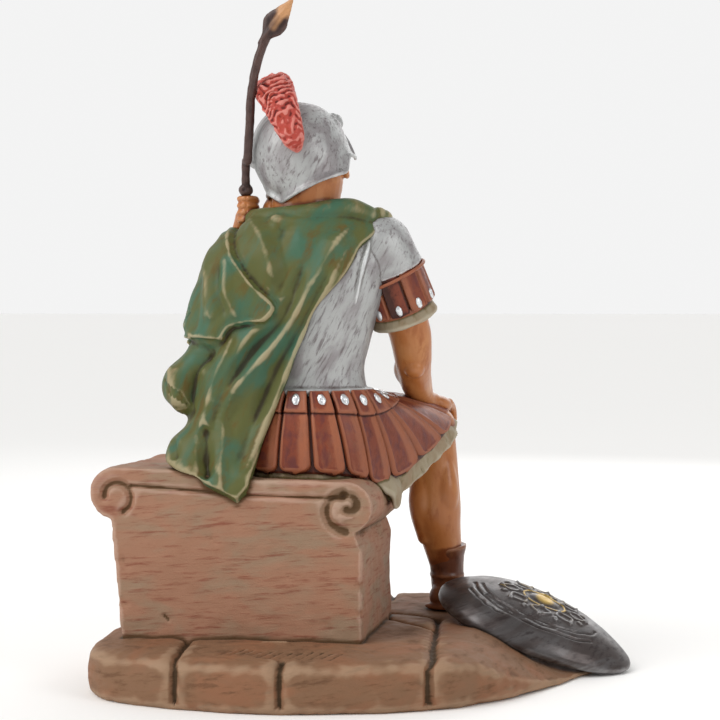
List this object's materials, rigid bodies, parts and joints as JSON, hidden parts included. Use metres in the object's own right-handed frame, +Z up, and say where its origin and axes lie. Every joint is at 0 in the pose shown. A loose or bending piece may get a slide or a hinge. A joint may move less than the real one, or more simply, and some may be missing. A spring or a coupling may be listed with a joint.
{
  "type": "seated roman soldier statue",
  "caption": "Painted nativity-scale figurine of a Roman soldier seated on a scrolled stone seat, hand on knee, holding a spear, with a domed oval shield lying against the paved base.",
  "frame": {"origin": "on the underside of the base, below the middle of the stone seat", "axes": "+Z up, +Y the way the soldier faces, +X to his right-hand side along the seat's long side"},
  "size_m": [0.2185, 0.198, 0.2819],
  "materials": {
    "painted_figure": "hand-painted moulded resin: warm skin, silver-painted cuirass and helmet, red-brown leather straps, grey-beige tunic and a green cloak, all under an olive-brown antique wash with a soft satin varnish",
    "stone_paint": "moulded resin painted as pinkish stone, dry-brushed in red-brown along one direction, with a brown wash in the grooves",
    "spear_paint": "dark brown satin paint, rubbed to tan at the tip",
    "shield_paint": "dark gunmetal-brown metallic paint with gold touches on the raised boss"
  },
  "bodies": {
    "root": {"soldier": "painted_figure", "stone_seat_and_base": "stone_paint", "spear": "spear_paint", "shield": "shield_paint"}
  },
  "joints": []
}
